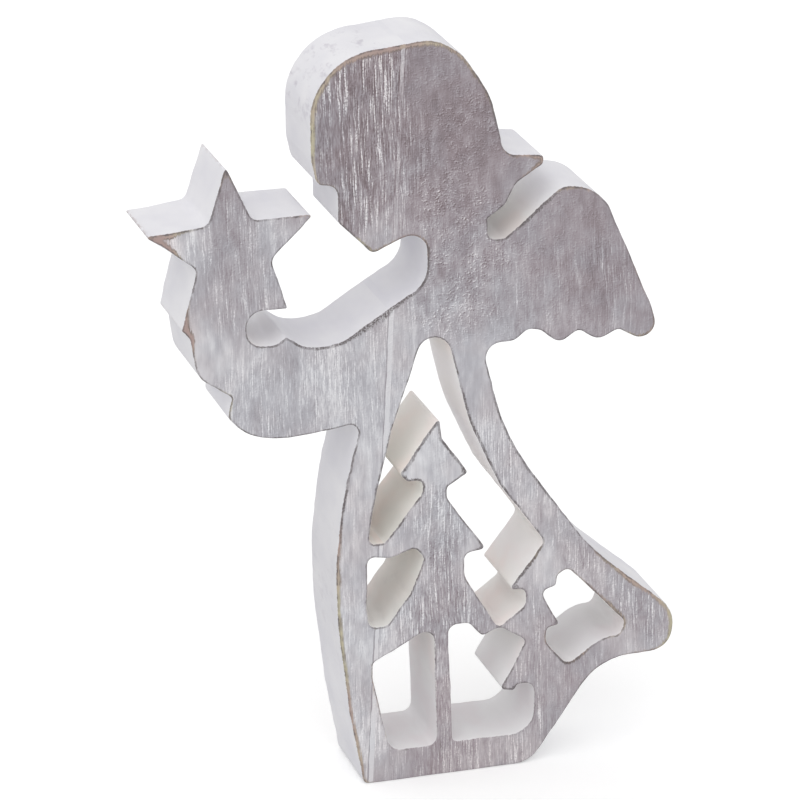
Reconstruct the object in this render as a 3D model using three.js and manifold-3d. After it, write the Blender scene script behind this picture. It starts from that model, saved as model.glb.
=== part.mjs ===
// A standing angel figurine, sawn as one silhouette from a thick board that is edge-glued from two staves.
// The glue seam runs the whole height, leaning a little, and parts the figure into three pieces of wood:
// the face, the arm with the star and the front of the skirt, and the rest of the body with wing and trees.
// Millimetres. X runs from the star towards the wing, Y from the front face to the back face, Z up.
// The origin is on the flat base, under the trunk of the large tree, in the middle of the board.
import * as THREE from "three";
import { mergeVertices } from "three/addons/utils/BufferGeometryUtils.js";
import Module from "manifold-3d";

const wasm = await Module();
wasm.setup();

// Board and glue seam
const BOARD_THICKNESS = 25;
const SEAM_FOOT_X = -20.1; // where the seam meets the base
const SEAM_LEAN = 3.55; // degrees that the seam leans towards the wing as it rises
const SEAM_WIDTH = 1.6; // open joint between the staves, which the glue fills
const SEAM_FIT = 0.3; // clearance on each side of the glue

// Arm and sleeve
const ARM_TOP_Z = 122.6; // lowest point of the arm's upper edge
const ELBOW_X = -26; // where the arm's upper edge starts to rise to the neck
const WRIST_X = -34.5;
const CUFF_X = -55.7;
const SLEEVE_LOW_X = -40; // lowest point of the sleeve
const ARMPIT_X = -20.4;
const ARMPIT_Z = 101;
const SLEEVE_SAG = 2; // how far the sleeve hangs below the armpit

// Head, built up from the bay between the arm and the jaw
const NECK_BAY = 29.3; // height of that bay at the neck
const NECK_FRONT_X = -2.2;
const NECK_BACK_X = 13.8;
const CHIN_X = -16.6;
const CHIN_DROP = 5.9; // chin below the jaw line's end at the neck
const HEAD_HEIGHT = 55.5; // from the chin to the sharp corner that the crown is rounded from
const FACE_X = -25.4;
const NOSE_RISE = 9.2; // nose above the chin
const FOREHEAD_X = -32.4;
const FOREHEAD_RISE = 17.8; // straight of the forehead above the nose
const CROWN_BACK_X = 4.7;
const HAIR_SWELL = 10.7; // how far the back of the hair swells out behind the crown's corner
const HAIR_TIP_X = 29.2;
const HAIR_TIP_RISE = 21.6; // flick of the hair above the chin

// Wing
const WING_ROOT_Z = 118.6; // underside of the wing where it meets the skirt
const WING_HEIGHT = 40.1;
const WING_TOP_X = 33.6;
const WING_TOP_LENGTH = 10.4; // flat top of the wing, before its corners are rounded
const WING_SLOT_DEPTH = 12.3; // slot between the hair and the wing
const WING_TIP_X = 59.8;
const WING_DROOP = 2.6; // wing tip below the wing's root
const SCALLOPS = 3;
const SCALLOP_PITCH = 10.6;
const SCALLOP_DEPTH = 3.3;
const SCALLOP_RISE = 0.4; // each scallop sits this much higher than the one outside it
const SCALLOP_DEEPENS = 0.5; // and is this much deeper
const SCALLOP_ROUND = 3.2;

// Star in the hand
const STAR_X = -53.3;
const STAR_RISE = 27.4; // centre of the star above the arm
const POCKET_DROP = 16.2; // roof of the pocket between star and arm, below the star's centre
const HAND_REACH = 10.1; // outer side of the hand from the star's centre
const HAND_DROP = 32; // heel of the hand below the star's centre
const HAND_TOP_DROP = 22.2; // where the star's tip stands out from the hand, below the star's centre
const STAR_TIP_RADIUS = 22.7;
const STAR_NOTCH_RADIUS = 9.8;
const STAR_TIP_ROUND = 0.4;
const STAR_TURN = 2.2; // degrees anticlockwise, seen from the front

// How the hand-sawn star departs from a regular one: the turn in degrees and the extra reach of each tip
// and each notch, clockwise from the tip on top.
const STAR_DEPARTURES = [
  [0, 0],
  [0, 0],
  [0, 0.2],
  [0, 0.8],
  [2.4, -0.8],
  [0, 0],
  [0, 1.9],
  [0, 0],
  [0, 0.2],
  [0, 0],
];

// Skirt
const BASE_LEFT_X = -21.8;
const BASE_RIGHT_X = 23.9;
const SHIN_X = -26.3;
const SHIN_Z = 30.3;
const SKIRT_BULGE_X = -28.2;
const SKIRT_BULGE_Z = 65.3;
const SKIRT_SWELL = 1.9; // how far the skirt's front swells past the lines that its cut-outs follow
const WAIST_BACK_X = 11.9;
const HIP_BACK_X = 18.5;
const HIP_BACK_Z = 92;
const TRAIN_BEND_X = 40.7;
const TRAIN_BEND_Z = 59.4;
const TRAIN_X = 65.6; // end of the skirt behind the figure
const TRAIN_TOP_Z = 35.9;
const TRAIN_BOTTOM_Z = 27.2;
const TRAIN_SWELL = 2.1; // how far the train's end swells above the straight line of the skirt's back
const TRAIN_LENGTH = 22; // from its end to where its underside turns down to the base
const FRONT_BAND = 7.4; // width of wood left between the cut-outs and the front of the skirt
const REAR_BAND = 7.6;
const TRAIN_BAND = 9.2;
const HEM_BAND = 8.3;
const CHEST_APEX_RISE = 10.5; // sharp corner that the top cut-out is rounded from, above the arm

// Large tree, on its own axis at X 0, built up from the hem
const TRUNK_WIDTH = 4;
const TRUNK_HEIGHT = 34.1;
const LOWER_TIP_X = 11.2;
const MIDDLE_TIP_X = 12.4;
const MIDDLE_TIP_RISE = 19.9; // above the top of the trunk
const UPPER_TIP_X = 8;
const UPPER_TIP_RISE = 21.6; // above the middle branch
const TREE_POINT_RISE = 16.6; // above the upper branch

// Small tree beside it, built up from the hem
const SMALL_TREE_X = 25.3; // left side of its stem
const SMALL_TREE_STEM = 4.5;
const SMALL_LOWER_RISE = 13.7;
const SMALL_MIDDLE_RISE = 16.2;
const SMALL_UPPER_RISE = 11.6;
const SMALL_POINT_RISE = 8.4;

// Roundings
const CHORD_ERROR = 0.06; // how far a facet may stray from a true arc
const CUT_ROUND = 2; // a saw cut's usual inside corner
const TIP_ROUND = 0.7; // the usual point of a branch

// Heights above the base that follow from these
const sleeveZ = ARMPIT_Z - SLEEVE_SAG;
const jawZ = ARM_TOP_Z + NECK_BAY;
const chinZ = jawZ - CHIN_DROP;
const crownZ = chinZ + HEAD_HEIGHT;
const noseZ = chinZ + NOSE_RISE;
const hairTipZ = chinZ + HAIR_TIP_RISE;
const wingTopZ = WING_ROOT_Z + WING_HEIGHT;
const wingTipZ = WING_ROOT_Z - WING_DROOP;
const wingSlotZ = wingTopZ - WING_SLOT_DEPTH;
const starZ = ARM_TOP_Z + STAR_RISE;
const trunkTopZ = HEM_BAND + TRUNK_HEIGHT;
const middleTipZ = trunkTopZ + MIDDLE_TIP_RISE;
const upperTipZ = middleTipZ + UPPER_TIP_RISE;
const treeTopZ = upperTipZ + TREE_POINT_RISE;
const footShoulderZ = trunkTopZ - 8.8;
const smallLowerZ = HEM_BAND + SMALL_LOWER_RISE;
const smallMiddleZ = smallLowerZ + SMALL_MIDDLE_RISE;
const smallUpperZ = smallMiddleZ + SMALL_UPPER_RISE;
const smallTopZ = smallUpperZ + SMALL_POINT_RISE;

// Edges that the skirt's cut-outs follow, from the bottom up and from the top down: x, z, corner radius.
const skirtFront = [
  [BASE_LEFT_X, 0, 1.6],
  [SHIN_X, SHIN_Z, 150],
  [SKIRT_BULGE_X, SKIRT_BULGE_Z, 40],
  [ARMPIT_X, ARMPIT_Z, 2.4],
];
const skirtRear = [
  [WAIST_BACK_X, WING_ROOT_Z, 4.2],
  [HIP_BACK_X, HIP_BACK_Z, 60],
  [TRAIN_BEND_X, TRAIN_BEND_Z, 60],
  [TRAIN_X, TRAIN_TOP_Z, 4.5],
];

// The front of the skirt as it is sawn, one long swelling curve.
const [toe, , , armpit] = skirtFront;
const swollenFront = [
  toe,
  [SHIN_X + 0.8, SHIN_Z - 9.4, 215],
  [SKIRT_BULGE_X - SKIRT_SWELL, SKIRT_BULGE_Z + 1.8, 140],
  armpit,
];

// x of an edge at a height, moved inwards by a band's width measured square to that edge.
function insideEdge(edge, z, band) {
  const rising = edge[0][1] < edge[edge.length - 1][1] ? edge : [...edge].reverse();
  const above = rising.findIndex((corner, i) => i > 0 && z <= corner[1]);
  const last = above < 1 ? rising.length - 1 : above;
  const [x0, z0] = rising[last - 1];
  const [x1, z1] = rising[last];
  const slope = (x1 - x0) / (z1 - z0);
  return x0 + slope * (z - z0) + band * Math.hypot(1, slope);
}

const insideFront = (z) => insideEdge(skirtFront, z, FRONT_BAND);
const insideRear = (z, band = REAR_BAND) => insideEdge(skirtRear, z, -band);

// The head: chin, face, fringe, crown, hair flicked out behind, and the neck that runs down into the body.
function headOutline() {
  const neckFoot = wingSlotZ - 8;
  return [
    [CHIN_X, chinZ, 2],
    [FACE_X, noseZ, TIP_ROUND],
    [FACE_X, noseZ + 9.8, 3.2],
    [FOREHEAD_X + 1.8, noseZ + 10.2, 2],
    [FOREHEAD_X, noseZ + FOREHEAD_RISE, 8],
    [FOREHEAD_X, crownZ - 3.7, 18],
    [CROWN_BACK_X, crownZ, 15],
    [CROWN_BACK_X + HAIR_SWELL, crownZ - 17, 30],
    [HAIR_TIP_X - 10.8, hairTipZ + 1.2, 4],
    [HAIR_TIP_X, hairTipZ, 1],
    [HAIR_TIP_X - 0.4, hairTipZ - 2.4, 1],
    [HAIR_TIP_X - 7.6, hairTipZ - 6.7, 3],
    [HAIR_TIP_X - 10.5, hairTipZ - 12, 1.5],
    [NECK_BACK_X, wingSlotZ + 5.8, 0],
    [NECK_BACK_X - 4, neckFoot, 0],
    [NECK_FRONT_X, neckFoot, 0],
    [NECK_FRONT_X, jawZ, 4.5],
  ];
}

// Rounded bumps along the underside of the wing, from its tip towards the body.
function wingScallops() {
  const corners = [];
  for (let i = 0; i < SCALLOPS; i += 1) {
    const x = WING_TIP_X - 5.6 - i * SCALLOP_PITCH;
    const z = wingTipZ - 0.25 + i * SCALLOP_RISE;
    const depth = SCALLOP_DEPTH + i * SCALLOP_DEEPENS;
    corners.push([x, z, SCALLOP_ROUND]);
    corners.push([x - SCALLOP_PITCH / 2, z + depth, 2]);
  }
  return corners;
}

// A star with its first point upwards; its points and the notches between them have their own roundings.
function starOutline() {
  const step = Math.PI / (STAR_DEPARTURES.length / 2);
  return STAR_DEPARTURES.map(([turn, extra], i) => {
    const angle = THREE.MathUtils.degToRad(90 + STAR_TURN + turn) - i * step;
    const isTip = i % 2 === 0;
    const radius = (isTip ? STAR_TIP_RADIUS : STAR_NOTCH_RADIUS) + extra;
    const x = STAR_X + radius * Math.cos(angle);
    const z = starZ + radius * Math.sin(angle);
    return [x, z, isTip ? STAR_TIP_ROUND : 2.4];
  });
}

// The hand under the star, up its outside to the star's tip, and the small round pocket between the star
// and the arm.
function handOutline() {
  const pocketTop = starZ - POCKET_DROP;
  const pocketX = STAR_X + 3.3;
  const tips = starOutline().filter((corner, i) => i % 2 === 0);
  const [, , [lowTipX], [tipX, tipZ]] = tips; // clockwise from the tip on top
  return [
    [CUFF_X, sleeveZ + 7.4, 2],
    [CUFF_X + 1.5, sleeveZ + 12.6, 1],
    [STAR_X - HAND_REACH, starZ - HAND_DROP, 7],
    [STAR_X - HAND_REACH - 1.2, starZ - HAND_TOP_DROP, 1],
    [tipX + 1.1 * STAR_TIP_ROUND, tipZ + 1.65 * STAR_TIP_ROUND, 0],
    [STAR_X - 6, starZ - 4, 0],
    [STAR_X + 6, starZ - 4, 0],
    [lowTipX - 2.5 * STAR_TIP_ROUND, pocketTop, 0],
    [pocketX, pocketTop, 4.2],
    [pocketX, ARM_TOP_Z + 1.9, 4.2],
    [pocketX + 7.5, ARM_TOP_Z + 1.8, 3],
    [pocketX + 10.2, ARM_TOP_Z + 3.8, 0.4],
    [WRIST_X, ARM_TOP_Z + 0.1, 8],
  ];
}

// The gown with its wing, train, sleeve and hand. It starts and ends inside the head.
function gownOutline() {
  return [
    [NECK_BACK_X, wingSlotZ + 8, 0],
    [NECK_BACK_X, wingSlotZ, 2.2],
    [NECK_BACK_X + 4.6, wingSlotZ, 1.6],
    [WING_TOP_X, wingTopZ, 5.5],
    [WING_TOP_X + WING_TOP_LENGTH, wingTopZ, 12.5],
    [WING_TIP_X - 1.3, wingTipZ + 6.6, 12],
    [WING_TIP_X, wingTipZ, 3.6],
    ...wingScallops(),
    [WAIST_BACK_X + 12.6, WING_ROOT_Z + 2.9, 2.5],
    [WAIST_BACK_X + 8.8, WING_ROOT_Z + 0.1, 4],
    ...skirtRear.slice(0, -1),
    [TRAIN_X - 0.6, TRAIN_TOP_Z + TRAIN_SWELL, 9.5],
    [TRAIN_X - 2.6, TRAIN_BOTTOM_Z, 6.4],
    [TRAIN_X - TRAIN_LENGTH, TRAIN_BOTTOM_Z, 16],
    [BASE_RIGHT_X, 0, 8],
    ...swollenFront,
    [SLEEVE_LOW_X, sleeveZ, 30],
    [CUFF_X + 5.2, sleeveZ + 1, 14],
    ...handOutline(),
    [ELBOW_X, ARM_TOP_Z, 14],
    [NECK_FRONT_X, ARM_TOP_Z + 14.5, 7],
    [NECK_FRONT_X, jawZ - 6, 0],
    [NECK_FRONT_X + 6, jawZ - 1, 0],
  ];
}

// Cut-out that runs over the large tree's top: down the rear band, round the small tree's upper branches,
// up the large tree's right side, over its point, down its left side and back up the front band.
function crownCutOut() {
  const waist = ARMPIT_Z - 3.6;
  const hip = SKIRT_BULGE_Z + 14.9;
  const joint = smallTopZ + 4.2;
  const lobe = middleTipZ + 4.7;
  return [
    [0, ARM_TOP_Z + CHEST_APEX_RISE, 4.5],
    [insideRear(waist) - 0.65, waist, 31],
    [insideRear(hip) - 1.05, hip - 0.6, 38],
    [insideRear(joint) - 0.9, joint, 1.8],
    [SMALL_TREE_X + 0.1, smallTopZ, 4],
    [SMALL_TREE_X - 6.7, smallUpperZ, TIP_ROUND],
    [SMALL_TREE_X - 2, smallUpperZ - 0.3, 1.5],
    [SMALL_TREE_X - 2.2, smallUpperZ - 5, 2.5],
    [SMALL_TREE_X - 9.7, trunkTopZ - 2.9, 1.3],
    [MIDDLE_TIP_X - 5.7, middleTipZ - 7.3, 5],
    [MIDDLE_TIP_X - 5.8, middleTipZ - 0.7, CUT_ROUND],
    [MIDDLE_TIP_X, middleTipZ, TIP_ROUND],
    [UPPER_TIP_X - 6, upperTipZ - 6.3, CUT_ROUND],
    [UPPER_TIP_X - 5.9, upperTipZ - 3.3, 1.2],
    [UPPER_TIP_X, upperTipZ, TIP_ROUND],
    [1.1, treeTopZ - 6.4, CUT_ROUND],
    [0.5, treeTopZ, TIP_ROUND],
    [-UPPER_TIP_X - 2.4, upperTipZ + 1.7, TIP_ROUND],
    [-UPPER_TIP_X - 0.4, upperTipZ - 0.5, 1],
    [-UPPER_TIP_X + 3.7, upperTipZ - 0.7, 1.5],
    [-UPPER_TIP_X + 3.5, upperTipZ - 4.1, 2.5],
    [-MIDDLE_TIP_X - 2.3, lobe, 1.5],
    [insideFront(lobe) + 1.2, lobe, 1.6],
    [insideFront(lobe + 6) + 0.5, lobe + 6, 20],
    [insideFront(hip) + 0.4, hip, 40],
    [insideFront(waist) + 1, waist, 30],
  ];
}

// Cut-out between the middle and lower branches of the large tree and the front band.
function branchCutOut() {
  const top = middleTipZ + 1.5;
  const bottom = trunkTopZ + 1.5;
  return [
    [insideFront(top) + 1.2, top, 1.8],
    [-MIDDLE_TIP_X - 1, top - 1.2, 4],
    [-MIDDLE_TIP_X + 5.8, top + 1.1, CUT_ROUND],
    [-MIDDLE_TIP_X + 8.4, top - 2.2, 1.8],
    [-MIDDLE_TIP_X + 4.2, top - 11.8, 8],
    [-LOWER_TIP_X - 3.4, bottom, 2.2],
    [insideFront(bottom) + 0.2, bottom, CUT_ROUND],
    [insideFront(bottom + 6.4), bottom + 6.4, 10],
  ];
}

// Cut-out to the left of the large tree's trunk.
function frontFootCutOut() {
  const side = footShoulderZ - 4.3;
  return [
    [insideFront(footShoulderZ), footShoulderZ, 2.4],
    [-TRUNK_WIDTH / 2, trunkTopZ + 0.2, 2.6],
    [-TRUNK_WIDTH / 2 + 0.4, HEM_BAND, 2.5],
    [insideFront(HEM_BAND) + 1.2, HEM_BAND, 4.2],
    [insideFront(side), side, 12],
  ];
}

// Cut-out between the large tree's trunk and the small tree's lower branches.
function rearFootCutOut() {
  return [
    [TRUNK_WIDTH / 2 - 0.1, trunkTopZ - 0.5, 2.4],
    [LOWER_TIP_X - 3.6, trunkTopZ - 0.5, CUT_ROUND],
    [LOWER_TIP_X, trunkTopZ - 4.7, 1.2],
    [SMALL_TREE_X - 9.1, trunkTopZ - 2.6, 2.2],
    [SMALL_TREE_X - 1.9, smallMiddleZ - 3.2, 1.4],
    [SMALL_TREE_X - 9.2, smallLowerZ, TIP_ROUND],
    [SMALL_TREE_X - 5.5, smallLowerZ - 0.8, 0.5],
    [SMALL_TREE_X - 4.7, smallLowerZ + 0.9, 0.5],
    [SMALL_TREE_X, smallLowerZ + 0.9, 2.4],
    [SMALL_TREE_X, HEM_BAND + 0.3, 6.5],
    [TRUNK_WIDTH / 2 + 0.6, HEM_BAND + 0.5, 1.5],
  ];
}

// Cut-out between the small tree and the train.
function trainCutOut() {
  const stem = SMALL_TREE_X + SMALL_TREE_STEM;
  const top = smallTopZ - 4;
  const corner = TRAIN_TOP_Z + 1.1;
  return [
    [insideRear(top) - 0.2, top, 1.8],
    [stem + 2.2, smallUpperZ + 2.6, 1.2],
    [stem + 1.8, smallUpperZ - 0.4, TIP_ROUND],
    [stem - 2.3, smallUpperZ - 1.6, 1.6],
    [stem + 2.8, smallMiddleZ, TIP_ROUND],
    [stem - 0.9, smallMiddleZ - 0.3, 1.2],
    [stem - 0.9, smallMiddleZ - 4.7, 3],
    [stem + 4.8, TRAIN_BOTTOM_Z - 0.9, 2.6],
    [stem + 14.2, TRAIN_BOTTOM_Z + 5.8, 10],
    [insideRear(corner, TRAIN_BAND) - 1.6, TRAIN_BOTTOM_Z + 6, 1.8],
    [insideRear(corner, TRAIN_BAND) - 0.5, corner, CUT_ROUND],
  ];
}

// Points of a closed outline whose corners [x, z, radius] are rounded by true arcs.
// A rounding that its two edges have no room for is drawn as large as they allow.
function roundedPoints(corners) {
  const count = corners.length;
  const at = corners.map(([x, z]) => new THREE.Vector2(x, z));
  const toNext = at.map((p, i) => at[(i + 1) % count].clone().sub(p));
  const halfTurn = at.map((p, i) => {
    const incoming = toNext[(i + count - 1) % count];
    const turn = Math.atan2(incoming.cross(toNext[i]), incoming.dot(toNext[i]));
    return turn / 2;
  });
  const wanted = corners.map((corner, i) => corner[2] * Math.tan(Math.abs(halfTurn[i])));
  const share = toNext.map((edge, i) => {
    const asked = wanted[i] + wanted[(i + 1) % count];
    return asked > edge.length() ? edge.length() / asked : 1;
  });
  const points = [];
  at.forEach((corner, i) => {
    const before = (i + count - 1) % count;
    const reach = wanted[i] * Math.min(share[before], share[i]);
    const half = Math.abs(halfTurn[i]);
    const radius = reach / Math.tan(half);
    if (!(reach > CHORD_ERROR) || !Number.isFinite(radius)) {
      points.push(corner.clone());
      return;
    }
    const side = Math.sign(halfTurn[i]);
    const incoming = toNext[before].clone().normalize();
    const start = corner.clone().addScaledVector(incoming, -reach);
    const inwards = new THREE.Vector2(-incoming.y, incoming.x).multiplyScalar(side);
    const centre = start.clone().addScaledVector(inwards, radius);
    const finest = 2 * Math.acos(Math.max(0, 1 - CHORD_ERROR / radius));
    const steps = Math.max(1, Math.ceil((2 * half) / finest));
    for (let k = 0; k <= steps; k += 1) {
      points.push(start.clone().rotateAround(centre, (side * 2 * half * k) / steps));
    }
  });
  return points;
}

// A closed mesh as a solid that can be joined and cut.
function solidFrom(geometry) {
  const bare = geometry.index ? geometry.toNonIndexed() : geometry.clone();
  bare.deleteAttribute("normal");
  bare.deleteAttribute("uv");
  const merged = mergeVertices(bare, 1e-4);
  const mesh = new wasm.Mesh({
    numProp: 3,
    vertProperties: merged.attributes.position.array,
    triVerts: new Uint32Array(merged.index.array),
  });
  return new wasm.Manifold(mesh);
}

function geometryFrom(solid) {
  const { vertProperties, triVerts } = solid.getMesh();
  const geometry = new THREE.BufferGeometry();
  geometry.setAttribute("position", new THREE.BufferAttribute(vertProperties, 3));
  geometry.setIndex(new THREE.BufferAttribute(triVerts, 1));
  geometry.computeVertexNormals();
  return geometry;
}

// An outline in the X-Z plane sawn through a thickness of board that is centred on Y 0.
function sawn(corners, thickness) {
  const shape = new THREE.Shape(roundedPoints(corners));
  const geometry = new THREE.ExtrudeGeometry(shape, { depth: thickness, bevelEnabled: false });
  geometry.rotateX(Math.PI / 2);
  geometry.translate(0, thickness / 2, 0);
  return solidFrom(geometry);
}

// The whole silhouette, before the seam parts it. Cut-outs run past both faces.
function figure() {
  const cutOuts = [crownCutOut(), branchCutOut(), frontFootCutOut(), rearFootCutOut(), trainCutOut()];
  const whole = [headOutline(), gownOutline(), starOutline()]
    .map((outline) => sawn(outline, BOARD_THICKNESS))
    .reduce((joined, part) => joined.add(part));
  return cutOuts.reduce((left, outline) => left.subtract(sawn(outline, BOARD_THICKNESS * 2)), whole);
}

// Everything between two distances across the seam, negative towards the star.
const REACH = 3 * crownZ; // longer than the figure in every direction
function acrossSeam(from, to) {
  const geometry = new THREE.BoxGeometry(to - from, REACH, REACH);
  geometry.translate((from + to) / 2, 0, 0);
  geometry.rotateY(THREE.MathUtils.degToRad(SEAM_LEAN));
  geometry.translate(SEAM_FOOT_X, 0, 0);
  return solidFrom(geometry);
}

// Everything between two heights.
function between(low, high) {
  const geometry = new THREE.BoxGeometry(REACH, REACH, high - low);
  geometry.translate(0, 0, (low + high) / 2);
  return solidFrom(geometry);
}

const woodFinish = new THREE.MeshStandardMaterial({ color: 0xaaa5a8, roughness: 0.8, metalness: 0 });
const glueFinish = new THREE.MeshStandardMaterial({ color: 0xd6d3d4, roughness: 0.6, metalness: 0 });

const angel = new THREE.Group();
angel.name = "angel_figurine";

function addPiece(name, solid, material) {
  const mesh = new THREE.Mesh(geometryFrom(solid), material);
  mesh.name = name;
  angel.add(mesh);
}

const board = figure();
const frontSide = board.intersect(acrossSeam(-REACH, -SEAM_WIDTH / 2));
const rearSide = board.intersect(acrossSeam(SEAM_WIDTH / 2, REACH));
const glueHalf = SEAM_WIDTH / 2 - SEAM_FIT;
const seam = board.intersect(acrossSeam(-glueHalf, glueHalf));

// Heights in the open spaces that the seam crosses, from the base up to the crown.
const gapUnderLowerBranch = footShoulderZ - CUT_ROUND / 2;
const gapUnderUpperBranch = (trunkTopZ + middleTipZ) / 2;
const gapUnderChest = (middleTipZ + upperTipZ) / 2 + CUT_ROUND;
const gapUnderChin = ARM_TOP_Z + 0.6 * NECK_BAY;

// The wood in front of the seam falls apart into two pieces, of which the arm's reaches down to the base.
const lowest = (solid) => solid.boundingBox().min[2];
const [armSide, faceSide] = frontSide.decompose().sort((a, b) => lowest(a) - lowest(b));

addPiece("body_stave", rearSide, woodFinish);
addPiece("face_stave", faceSide, woodFinish);
addPiece("arm_stave", armSide, woodFinish);

const glueLines = [
  ["glue_line_hem", -REACH, gapUnderLowerBranch],
  ["glue_line_lower_branch", gapUnderLowerBranch, gapUnderUpperBranch],
  ["glue_line_upper_branch", gapUnderUpperBranch, gapUnderChest],
  ["glue_line_chest", gapUnderChest, gapUnderChin],
  ["glue_line_head", gapUnderChin, REACH],
];
glueLines.forEach(([name, low, high]) => addPiece(name, seam.intersect(between(low, high)), glueFinish));

export default angel;
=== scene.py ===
import math

import bmesh
import bpy
import numpy as np
from mathutils import Matrix, Vector
from mathutils.geometry import delaunay_2d_cdt


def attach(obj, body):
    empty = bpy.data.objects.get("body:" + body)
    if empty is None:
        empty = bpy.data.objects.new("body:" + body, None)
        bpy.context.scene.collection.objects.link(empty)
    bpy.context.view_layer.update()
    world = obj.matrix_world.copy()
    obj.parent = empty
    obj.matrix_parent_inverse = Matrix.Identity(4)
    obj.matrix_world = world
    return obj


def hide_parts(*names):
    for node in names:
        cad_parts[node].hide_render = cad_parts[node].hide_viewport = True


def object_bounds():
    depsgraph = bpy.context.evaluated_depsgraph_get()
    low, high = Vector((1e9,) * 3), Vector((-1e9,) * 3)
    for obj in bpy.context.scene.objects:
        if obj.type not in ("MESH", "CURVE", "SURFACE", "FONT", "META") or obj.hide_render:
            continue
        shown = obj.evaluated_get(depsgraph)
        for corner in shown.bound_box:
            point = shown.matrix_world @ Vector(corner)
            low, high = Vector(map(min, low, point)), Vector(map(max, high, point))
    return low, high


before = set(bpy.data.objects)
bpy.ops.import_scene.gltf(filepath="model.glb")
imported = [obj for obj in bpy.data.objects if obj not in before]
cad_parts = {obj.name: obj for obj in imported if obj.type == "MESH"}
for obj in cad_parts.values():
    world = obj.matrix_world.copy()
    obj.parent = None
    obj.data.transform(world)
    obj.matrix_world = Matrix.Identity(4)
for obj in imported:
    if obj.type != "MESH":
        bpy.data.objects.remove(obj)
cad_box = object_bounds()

# An angel sawn from a thick board that is edge-glued from two staves. Lengths are millimetres until a
# mesh is made: X from the star towards the wing, Y from the front face to the back face, Z up.
MM = 0.001
BOARD_HALF = cad_box[1].y / MM

# The glue seam, as in the solids
SEAM_FOOT_X = -20.1
SEAM_LEAN = math.radians(3.55)
SEAM_WIDTH = 1.6
SEAM_FIT = 0.3  # between a glue line and the wood on each side of it
STAVES = ("body_stave", "face_stave", "arm_stave")
GLUE_LINES = (
    "glue_line_hem",
    "glue_line_lower_branch",
    "glue_line_upper_branch",
    "glue_line_chest",
    "glue_line_head",
)

# The saw's path and the sanding of its arrises
SAW_SEED = 7
PATH_STEP = 0.45  # between points along the path
PATH_EASE = 0.25  # how far sanding eases the path's corners
PATH_WANDER = 0.07  # how far the saw strays from the drawn line
STRAYS = ((2.5, 0.7), (0.9, 0.5))  # reach along the path and share of the saw's slow and quick straying
ARRIS = 0.42  # usual radius of a sanded arris
ARRIS_VARIES = 0.1
ARRIS_REACH = 3  # along the path, over which the radius varies
ARRIS_EASE = 0.8  # along the path, over which the radius is evened out
LEAST_ARRIS = 0.15
ARRIS_SHARE = 0.6  # of the room in the wood, at most
EVENED_SHARE = 0.75  # the same, once the radius is evened out
ARRIS_ROWS = 5  # facets round an arris
WALL_ROWS = 5  # rows of points on the sawn wall between its arrises
CAP_PITCH = 1.0  # between points on the faces
RIM_CLEARANCE = 0.6 * CAP_PITCH  # between those points and the face's rim
PATH_CLEARANCE = 0.9 * CAP_PITCH  # between those points and the saw's path
SHARP_ANGLE = math.radians(50)  # an edge bent more than this isn't smoothed
BLOCKS = 24  # in which long tables of distances are worked out

# Places where handling and sanding went further: x, z, size of the place, added arris radius
WORN_ARRISES = (
    (-14, 198, 16, 0.65),
    (10, 194, 14, 0.3),
    (-32, 181, 11, 0.6),
    (-18, 146, 7, 0.3),
    (-4, 147, 6, 0.25),
    (-37, 65, 11, 0.9),
    (-37, 47, 11, 0.9),
    (-35, 28, 11, 0.9),
    (-32, 9, 11, 0.9),
    (-72, 154, 6, 0.6),
    (-66, 130, 5, 0.6),
    (-58, 110, 8, 0.15),
    (57, 117, 5, 0.35),
    (59, 132, 14, 0.12),
    (38, 158, 9, 0.2),
    (24, 168, 5, 0.3),
    (28, 166, 3, 0.3),
    (64, 34, 9, 0.5),
    (52, 49, 12, 0.5),
    (37, 27, 5, 0.3),
    (31, 35, 3, 0.3),
    (27, 58, 4, 0.3),
)

# Points where the front face itself is rubbed down: x, z, size of the place, depth
RUBBED_POINTS = (
    (-74.7, 156, 6, 1.0),
    (-66.6, 130.2, 4.5, 0.8),
    (-54.2, 172, 5, 0.6),
    (-32.5, 157.7, 5, 0.4),
)

# Places where the dark line along the arris is stronger, or weaker: x, z, size of the place, amount
LINED_ARRISES = (
    (-17, 129, 9, 1.2),
    (-34, 124, 8, 0.3),
    (-2, 141, 8, 0.35),
    (28, 153, 8, 0.5),
    (14, 182, 9, 0.3),
    (-5, 88, 10, 0.3),
    (9, 97, 12, 0.35),
    (27, 84, 12, 0.3),
    (23, 56, 5, 0.5),
    (9, 84, 5, 0.2),
    (-9, 84, 3, 0.2),
    (12, 62, 4, 0.3),
    (19, 21, 4, 0.5),
    (36, 27, 6, 0.35),
    (-27, 80, 14, 0.3),
    (0, 0, 25, -0.5),
    (0, 20, 14, -0.15),
    (62, 35, 12, -0.2),
    (-32, 176, 12, -0.15),
    (-55, 165, 14, 0.15),
)

# Ridges down the board's thickness at the star's tips, where the paint is rubbed off: x, z, size, amount
WORN_RIDGES = (
    (-54.2, 172.7, 0.8, 1.0),
    (-75, 156.1, 0.8, 0.8),
    (-32.1, 157.8, 0.7, 0.5),
    (-67, 129.7, 0.8, 0.7),
)

# Places on the sawn walls with painted shade, and painted light where the amount is below zero: x, z, size of
# the place, amount
PAINTED_SHADE_AND_LIGHT_ON_WALLS = (
    (17, 150, 8, 0.25),
    (-26, 60, 25, 0.1),
    (-10, 69, 7, 0.2),
    (5, 110, 9, -1.0),
    (12, 91, 11, -1.0),
    (-47, 129, 6, -0.35),
    (20, 76, 9, -0.8),
    (25, 59, 9, -0.1),
    (17, 27, 6, -0.3),
    (-12, 53, 6, 0.1),
)

# Places on the outer walls where the paint is as warm as in the cut-outs, with the same painted light: x, z,
# size of the place, amount
WARM_LIT_WALLS = (
    (-50, 129, 5, 0.9),
    (20, 152, 8, 0.8),
    (42, 33, 9, -0.3),
    (25, 58, 8, -0.5),
)

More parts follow.
